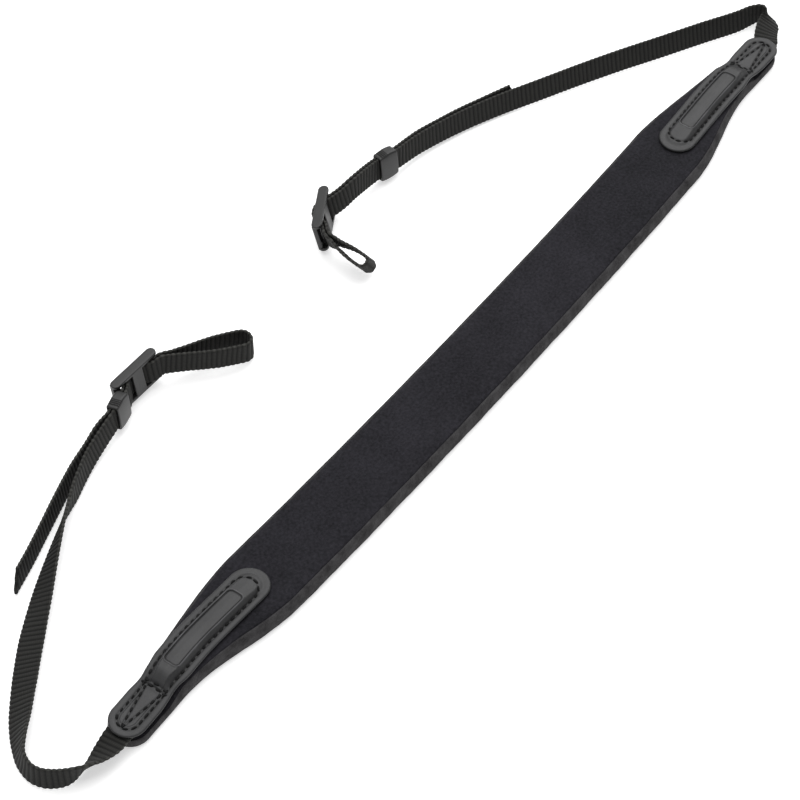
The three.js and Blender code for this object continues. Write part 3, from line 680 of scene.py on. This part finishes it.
keeperMake = {"length": 8.4, "apex": 12.5, "shoulder": 11.1, "thickness": 4.6, "slotHeight": 10.25,
              "slotDepth": 3.3, "corner": 0.75, "frontBulge": 0.55, "mouthRound": 0.4,
              "grooves": 4, "grooveFrom": -3.35, "grooveTo": -0.25, "grooveDepth": 0.3}


def heading(degrees):
    return np.array([math.cos(math.radians(degrees)), math.sin(math.radians(degrees)), 0.0])


def standing(lean):
    tilt = math.radians(lean)
    return webbingMake["width"] / 2 * math.cos(tilt) + webbingMake["thickness"] / 2 * abs(math.sin(tilt))


def leaning(right, lean):
    return up * math.cos(math.radians(lean)) + right * math.sin(math.radians(lean))


def runStations(rows):
    made = []
    for i, (x, y, lift, lean) in enumerate(rows):
        before, after = rows[max(0, i - 1)], rows[min(len(rows) - 1, i + 1)]
        way = unit(np.array([after[0] - before[0], after[1] - before[1], 0.0]))
        made.append((np.array([x, y, lift + standing(lean)]), leaning(np.cross(way, up), lean), 0.0))
    return made


def sewnStations(side):
    made = []
    for fromTip in (webbingMake["hiddenEnd"], 44, 32, 28, 26, 24, 22, 20, 17, 11, 5):
        x = side * (padHalf - fromTip)
        z = float(padHeight(fromTip)) + clearance + webbingMake["thickness"] / 2
        y = float(padMiddle(x) + tabAxis(side, fromTip - tabMake["setIn"][side]))
        made.append((np.array([x, y, z]), np.array([0.0, float(side), 0.0]), 0.0))
    return made


def axesOf(strapEnd, place):
    level = heading(place["heading"])
    rise = math.radians(place["rise"])
    along = level * math.cos(rise) + up * math.sin(rise)
    square = up * math.cos(rise) - level * math.sin(rise)
    flatBack = np.cross(level, up) * strapEnd["side"]
    tilt = math.radians(place["lean"])
    upright = square * math.cos(tilt) + flatBack * math.sin(tilt)
    back = flatBack * math.cos(tilt) - square * math.sin(tilt)
    return along, back, upright, np.array(place["at"], float)


def pairStations(strapEnd):
    along, back, held, middle = axesOf(strapEnd, strapEnd["keeper"])
    glideAlong, glideBack, glideUp, glideMiddle = axesOf(strapEnd, strapEnd["glide"])
    spread = webbingMake["pairPitch"] / 2
    reach = keeperMake["length"] / 2 + 1
    made = [(middle + along * s, held, spread) for s in (-reach, 0, reach)]
    loop, side = strapEnd["loop"], strapEnd["side"]
    way = heading(strapEnd["glide"]["heading"] + side * loop["turn"])
    edge = leaning(np.cross(way, up) * side, loop["lean"])
    for a, b in strapEnd["pass"]:
        before = unit(mix(held, glideUp, float(ease(a, -glideMake["length"] / 2, 0))))
        twist = webbingMake["twistShare"] * float(ease(a, *webbingMake["twist"]))
        made.append((glideMiddle + glideAlong * a + glideBack * b, unit(mix(before, edge, twist)), spread))
    start, leaving = made[-1][:2]
    endZ = loop["lift"] + standing(loop["lean"]) + loop["radius"] * math.sin(math.radians(loop["lean"]))
    for share in (0.14, 0.32, 0.5, 0.68, 0.86, 1):
        point = start + way * loop["length"] * share
        point[2] = mix(start[2], endZ, share)
        made.append((point, unit(mix(leaving, edge, float(ease(share, 0, 0.4)))),
                     mix(spread, loop["radius"], float(ease(share, 0, loop["open"])))))
    return made


# even stations on a smooth curve through the given ones
def resample(stations, step):
    points = [s[0] for s in stations]
    points = [2 * points[0] - points[1], *points, 2 * points[-1] - points[-2]]
    made = []
    for i, (a, b) in enumerate(zip(stations, stations[1:])):
        p0, p1, p2, p3 = points[i:i + 4]
        d0, d1, d2 = (math.sqrt(np.linalg.norm(q - p)) for p, q in ((p0, p1), (p1, p2), (p2, p3)))
        t1 = d1 * ((p1 - p0) / d0 - (p2 - p0) / (d0 + d1) + (p2 - p1) / d1)
        t2 = d1 * ((p2 - p1) / d1 - (p3 - p1) / (d1 + d2) + (p3 - p2) / d2)
        count = max(1, round(float(np.linalg.norm(p2 - p1)) / step))
        for t in np.arange(count) / count:
            point = p1 + t1 * t + (3 * (p2 - p1) - 2 * t1 - t2) * t ** 2 + (2 * (p1 - p2) + t1 + t2) * t ** 3
            made.append((point, unit(mix(a[1], b[1], t)), mix(a[2], b[2], t)))
    return [*made, stations[-1]]


# out along the front layer, round the loop's end and home along the back layer
def loopStations(strapEnd):
    pair = resample(pairStations(strapEnd), webbingMake["bendStep"])
    middles = np.array([s[0] for s in pair])
    ways = unit(np.concatenate([[middles[1] - middles[0]], middles[2:] - middles[:-2],
                                [middles[-1] - middles[-2]]]))
    backs = unit(np.cross(ways, [s[1] for s in pair])) * strapEnd["side"]
    front = [(s[0] - b * s[2], s[1], 0.0) for s, b in zip(pair, backs)]
    home = [(s[0] + b * s[2], s[1], 0.0) for s, b in zip(pair, backs)]
    middle, edge, radius = pair[-1]
    turns = [(middle - backs[-1] * radius * math.cos(t) + ways[-1] * radius * math.sin(t), edge, 0.0)
             for t in np.radians([30, 60, 90, 120, 150])]
    return [*front, *turns, *home[::-1]]


def soften(values, width):
    kernel = ridge(np.arange(-3 * width, 3 * width + 1), width)
    kernel /= kernel.sum()
    padded = np.pad(values, ((3 * width, 3 * width), (0, 0)), mode="edge")
    return np.stack([np.convolve(padded[:, k], kernel, mode="valid") for k in range(3)], axis=-1)


def follow(values, known, places):
    return np.stack([np.interp(places, known, values[:, k]) for k in range(3)], axis=-1)


def ribTree():
    tree, given = newTree("webbingRibs", {"Rib Pitch": "Float", "Rib Depth": "Float", "Webbing": "Material"})
    along = addNode(tree, "GeometryNodeInputNamedAttribute", {"Name": "along"}, data_type="FLOAT").outputs[0]
    outward = addNode(tree, "GeometryNodeInputNamedAttribute", {"Name": "outward"},
                      data_type="FLOAT_VECTOR").outputs[0]
    turn = mathNode(tree, "MULTIPLY", mathNode(tree, "DIVIDE", along, given["Rib Pitch"]), math.pi)
    crest = mathNode(tree, "POWER", mathNode(tree, "ABSOLUTE", mathNode(tree, "SINE", turn)), 0.7)
    depth = mathNode(tree, "MULTIPLY", mathNode(tree, "SUBTRACT", crest, 1.0), given["Rib Depth"])
    offset = addNode(tree, "ShaderNodeVectorMath", {0: outward, "Scale": depth}, operation="SCALE")
    ribbed = addNode(tree, "GeometryNodeSetPosition",
                     {"Geometry": given["Geometry"], "Offset": offset.outputs[0]})
    endTree(tree, ribbed.outputs[0], given["Webbing"])
    return tree


def makeWebbing(strapEnd, tree):
    stations = [*sewnStations(strapEnd["side"]), *runStations(strapEnd["run"]), *loopStations(strapEnd),
                *runStations(strapEnd["tail"])]
    line = resample(stations, webbingMake["curveStep"])
    middle, edge = np.array([s[0] for s in line]), np.array([s[1] for s in line])
    slant = webbingMake["cutSlant"] / 2
    middle = np.concatenate([middle, [middle[-1] + unit(middle[-1] - middle[-2]) * (slant + 0.1)]])
    edge = np.concatenate([edge, edge[-1:]])
    length = np.concatenate([[0], np.cumsum(np.linalg.norm(np.diff(middle, axis=0), axis=1))])
    total = length[-1] - slant - 0.1
    step = webbingMake["ribPitch"] / webbingMake["stepsPerRib"]
    s = np.arange(0, total + slant + step, step)
    middle, edge = soften(follow(middle, length, s), 2), soften(follow(edge, length, s), 7)
    way = unit(soften(unit(np.gradient(middle, axis=0)), 3))
    edge = unit(edge - way * np.sum(edge * way, axis=1, keepdims=True))
    face = np.cross(way, edge)
    # section: front face, upper edge, back face, lower edge
    flat = 1 - webbingMake["edgeRound"] * 2 / webbingMake["width"]
    across = np.linspace(-flat, flat, webbingMake["columns"])
    turn = np.radians([50, 0, -50])
    bulge = (1 - flat) * np.cos(turn)
    section = [*((a, 1.0, 0.0, 1.0) for a in across),
               *((flat + b, math.sin(t), math.cos(t), math.sin(t)) for b, t in zip(bulge, turn)),
               *((a, -1.0, 0.0, -1.0) for a in across[::-1]),
               *((-flat - b, math.sin(-t), -math.cos(t), math.sin(-t)) for b, t in zip(bulge, turn))]
    halfThickness = webbingMake["thickness"] / 2
    points, outs, alongs, acrosses = [], [], [], []
    for a, out, sideways, lift in section:
        place = np.minimum(s, total - a * slant + webbingMake["fray"] * math.sin(41 * a + 7 * out))
        widening = ease(place, *webbingMake["hiddenTaper"])
        halfWidth = mix(webbingMake["hiddenHalf"], webbingMake["width"] / 2, widening)[:, None]
        here, e, f = (follow(values, s, place) for values in (middle, edge, face))
        points.append(here + e * a * halfWidth + f * out * halfThickness)
        outs.append(e * sideways * webbingMake["scallop"] + f * lift)
        waver = drift(place, 2.1) + 0.6 * drift(place + 4 * a, 5.7)
        alongs.append((place + webbingMake["uneven"] * waver) * mm)
        acrosses.append(a * halfWidth[:, 0] * mm)
    count = len(section)

    def inOrder(parts):
        return np.stack(parts, axis=1).reshape(len(s) * count, *np.shape(parts[0])[1:])

    faces = ringFaces(len(s), count).tolist()
    n, e = webbingMake["columns"], len(turn)
    for start in (0, (len(s) - 1) * count):
        faces += [[start + k, start + k + 1, start + 2 * n + e - 2 - k, start + 2 * n + e - 1 - k]
                  for k in range(n - 1)]
        faces.append([start + k for k in range(n - 1, n + e + 1)])
        faces.append([start + k for k in (*range(2 * n + e - 1, count), 0)])
    piece = makePiece("webbing" + strapEnd["label"], inOrder(points), faces, [],
                      attributes={"along": inOrder(alongs), "across": inOrder(acrosses),
                                  "outward": inOrder(outs)})
    runTree(piece, tree, {"Rib Pitch": webbingMake["ribPitch"] * mm,
                          "Rib Depth": webbingMake["ribDepth"] * mm, "Webbing": wovenWebbing})
    return piece, total


weaveTree = ribTree()
webbings = {}
for strapEnd in strapEnds:
    webbings[strapEnd["side"]] = makeWebbing(strapEnd, weaveTree)
    print("webbing", strapEnd["label"], "length", round(webbings[strapEnd["side"]][1], 1), "mm,",
          len(webbings[strapEnd["side"]][0].data.polygons), "faces")


# keepers and tri-glides, each made about its own middle: X along the webbing, Y to the back, Z upright

def stand(points, strapEnd, place):
    along, back, upright, middle = axesOf(strapEnd, place)
    basis = np.stack([-along * strapEnd["side"], back, upright])
    return np.asarray(points) @ basis + middle


def roundLoop(yLow, yHigh, zLow, zHigh, radius, sideSteps=6, cornerSteps=5):
    corners = ((yHigh - radius, zHigh - radius, 0), (yLow + radius, zHigh - radius, 90),
               (yLow + radius, zLow + radius, 180), (yHigh - radius, zLow + radius, 270))
    points = []
    for k, (y, z, first) in enumerate(corners):
        turn = np.radians(np.linspace(first, first + 90, cornerSteps + 1))
        arc = np.stack([y + radius * np.cos(turn), z + radius * np.sin(turn)], axis=-1)
        nextY, nextZ, nextFirst = corners[(k + 1) % 4]
        start = np.array([nextY + radius * math.cos(math.radians(nextFirst)),
                          nextZ + radius * math.sin(math.radians(nextFirst))])
        shares = (np.arange(1, sideSteps) / sideSteps)[:, None]
        points += [arc, mix(arc[-1], start, shares)]
    return np.concatenate(points)


def makeKeeper(strapEnd):
    k = keeperMake
    mouth = k["length"] / 2
    ends = mouth - k["mouthRound"] * (1 - np.cos(np.radians([0, 30, 60, 90])))
    inside = np.arange(-mouth + k["mouthRound"], mouth - k["mouthRound"], 0.1)[1:]
    stations = np.concatenate([-ends, inside, ends[::-1]])
    stations = np.unique(np.round(stations, 4))
    pitch = (k["grooveTo"] - k["grooveFrom"]) / k["grooves"]
    outer, inner = [], []
    for x in stations:
        share = abs(x) / mouth
        arch = k["shoulder"] / 2 + (k["apex"] - k["shoulder"]) / 2 * (1 - share ** 2.2)
        top = arch
        if k["grooveFrom"] <= x <= k["grooveTo"]:
            phase = (x - k["grooveFrom"]) / pitch % 1
            top -= k["grooveDepth"] * max(0.0, math.sin(math.pi * phase)) ** 1.5
        late = max(0.0, (abs(x) - mouth + k["mouthRound"]) / k["mouthRound"])
        inset = k["mouthRound"] * (1 - math.sqrt(max(0.0, 1 - late ** 2))) * 0.6
        half = k["thickness"] / 2 - inset
        loop = roundLoop(-half, half, -arch + inset, top - inset, k["corner"])
        front = loop[:, 0] < 0
        bulge = k["frontBulge"] * (1 - np.clip(loop[:, 1] / 6.6, -1, 1) ** 2) * (1 - 0.3 * share ** 2)
        loop[:, 0] -= np.where(front, bulge * np.clip(-loop[:, 0] / half, 0, 1), 0)
        slotGrow = 0.22 * late ** 2
        slot = roundLoop(-k["slotDepth"] / 2 - slotGrow, k["slotDepth"] / 2 + slotGrow,
                         -k["slotHeight"] / 2 - slotGrow * 0.5, k["slotHeight"] / 2 + slotGrow * 0.5, 0.3)
        outer.append(np.column_stack([np.full(len(loop), x), loop]))
        inner.append(np.column_stack([np.full(len(slot), x), slot]))
    rings = [*outer, *inner[::-1], outer[0]]
    points = stand(np.concatenate(rings), strapEnd, strapEnd["keeper"])
    faces = ringFaces(len(rings), len(rings[0]))
    return makePiece("keeper" + strapEnd["label"], points, faces, [blackMoulding])


def prismPoints(loop, low, high):
    return np.concatenate([np.column_stack([loop, np.full(len(loop), z)]) for z in (low, high)])


def makeTriGlide(strapEnd):
    g = glideMake
    top = g["height"] / 2
    inside = top - g["rail"]
    radius = g["thickness"] / 2
    loop = capsule(g["length"], radius, radius, lambda u, sign: np.full(len(u), radius), 1.0, 10)
    turn = np.radians([0, 22, 45, 68, 90])
    rimIn, rimUp = g["rimRound"] * (1 - np.sin(turn)), g["rimRound"] * (1 - np.cos(turn))
    solids = []
    for low, high in ((inside, top), (-top, -inside)):
        levels = [(radius, low), (radius * 0.6, low)]
        levels += [(a, low + b) for a, b in zip(rimIn, rimUp)]
        levels += [(a, high - b) for a, b in zip(rimIn[::-1], rimUp[::-1])]
        levels += [(radius * 0.6, high), (radius, high)]
        rings = []
        for inset, z in levels:
            u, w = inward(loop, inset)
            rings.append(np.stack([u - g["length"] / 2, w, np.full(len(u), z)], axis=-1))
        solids.append((np.concatenate(rings), ringFaces(len(rings), len(loop["u"])).tolist()))
    endAlong = g["length"] / 2 - g["endInset"] - g["endWidth"] / 2
    endBack = radius - g["endInset"] / 2 - g["endThickness"] / 2
    bars = [(g["centreWidth"], g["centreThickness"], 0, -radius + g["centreThickness"] / 2),
            (g["endWidth"], g["endThickness"], endAlong, endBack),
            (g["endWidth"], g["endThickness"], -endAlong, endBack)]
    for width, depth, x, y in bars:
        section = roundLoop(x - width / 2, x + width / 2, y - depth / 2, y + depth / 2, g["barRound"])
        count = len(section)
        faces = [*ringFaces(2, count).tolist(), list(range(count)), list(range(count, 2 * count))]
        solids.append((prismPoints(section, -inside - g["rail"] / 2, inside + g["rail"] / 2), faces))
    parts = [makePiece("glidePart%d" % i, stand(points, strapEnd, strapEnd["glide"]), faces, [blackMoulding])
             for i, (points, faces) in enumerate(solids)]
    whole = parts[0]
    for part in parts[1:]:
        join = whole.modifiers.new("join", "BOOLEAN")
        join.operation, join.solver, join.object = "UNION", "EXACT", part
    graph = bpy.context.evaluated_depsgraph_get()
    mesh = bpy.data.meshes.new_from_object(whole.evaluated_get(graph), depsgraph=graph)
    for part in parts:
        bpy.data.objects.remove(part)
    smoothAll(mesh)
    mesh.set_sharp_from_angle(angle=math.radians(40))
    return addObject("triGlide" + strapEnd["label"], mesh)


keepers = {e["side"]: makeKeeper(e) for e in strapEnds}
triGlides = {e["side"]: makeTriGlide(e) for e in strapEnds}
for piece in keepers.values():
    piece.data.set_sharp_from_angle(angle=math.radians(50))
mouldings = [*keepers.values(), *triGlides.values()]
print("keepers and tri-glides:", [len(p.data.polygons) for p in mouldings], "faces")


# what each piece stands for

def settle(piece, node):
    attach(piece, "root")
    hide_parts(node)


settle(neckPad, "neck_pad")
for strapEnd in strapEnds:
    side, node = strapEnd["side"], strapEnd["label"].lower()
    settle(tabs[side], "end_tab_" + node)
    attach(stitches[side], "root")
    webbing, length = webbings[side]
    settle(webbing, "webbing_" + node)
    settle(keepers[side], "keeper_" + node)
    settle(triGlides[side], "triglide_" + node)
print("pieces settled on the frame")


# floor, light and camera

stageMake = {"floor": 24.0, "floorLevel": -0.0004, "floorTone": (0.85, 0.85, 0.85, 1.0), "floorGlow": 0.45,
             "sky": 0.5, "lightAim": (0, 0.04, 0), "lens": 117.0, "sensor": 36.0,
             "eye": (-0.5251, -0.3470, 0.7277), "target": (-0.0328, 0.0143, 0.0)}
lamps = [  # place, size and power
    {"name": "topSoftbox", "at": (0.2, 0.3, 1.6), "size": 1.7, "power": 22.0},
    {"name": "rightSoftbox", "at": (1.4, 0.3, 1.1), "size": 1.1, "power": 9.0},
    {"name": "backSoftbox", "at": (0.8, 1.1, 1.2), "size": 1.2, "power": 4.0},
]
half = stageMake["floor"] / 2
corners = [(x * half, y * half, stageMake["floorLevel"]) for x, y in ((-1, -1), (1, -1), (1, 1), (-1, 1))]
floorMesh = bpy.data.meshes.new("floor")
floorMesh.from_pydata(corners, [], [(0, 1, 2, 3)])
floor = addObject("floor", floorMesh)
paper = newFinish("palePaper", {"Base Color": stageMake["floorTone"], "Roughness": 0.9,
                                "Specular IOR Level": 0.1, "Emission Color": (1, 1, 1, 1),
                                "Emission Strength": stageMake["floorGlow"]})[0]
floorMesh.materials.append(paper)

for lamp in lamps:
    light = bpy.data.lights.new(lamp["name"], "AREA")
    light.size, light.energy = lamp["size"], lamp["power"]
    holder = addObject(lamp["name"], light)
    holder.location = lamp["at"]
    holder.rotation_mode = "QUATERNION"
    holder.rotation_quaternion = (Vector(stageMake["lightAim"]) - Vector(lamp["at"])).to_track_quat("-Z", "Y")

world = bpy.data.worlds.new("softRoom")
world.use_nodes = True
world.node_tree.nodes["Background"].inputs["Color"].default_value = (1, 1, 1, 1)
world.node_tree.nodes["Background"].inputs["Strength"].default_value = stageMake["sky"]
scene.world = world
scene.view_settings.view_transform = "Standard"

eye, target = Vector(stageMake["eye"]), Vector(stageMake["target"])
camera = addObject("photoCamera", bpy.data.cameras.new("photoCamera"))
camera.data.lens, camera.data.sensor_width = stageMake["lens"], stageMake["sensor"]
camera.data.clip_start, camera.data.clip_end = 0.01, 50.0
camera.location = eye
camera.rotation_mode = "QUATERNION"
camera.rotation_quaternion = (target - eye).to_track_quat("-Z", "Y")
scene.camera = camera
print("stage set")
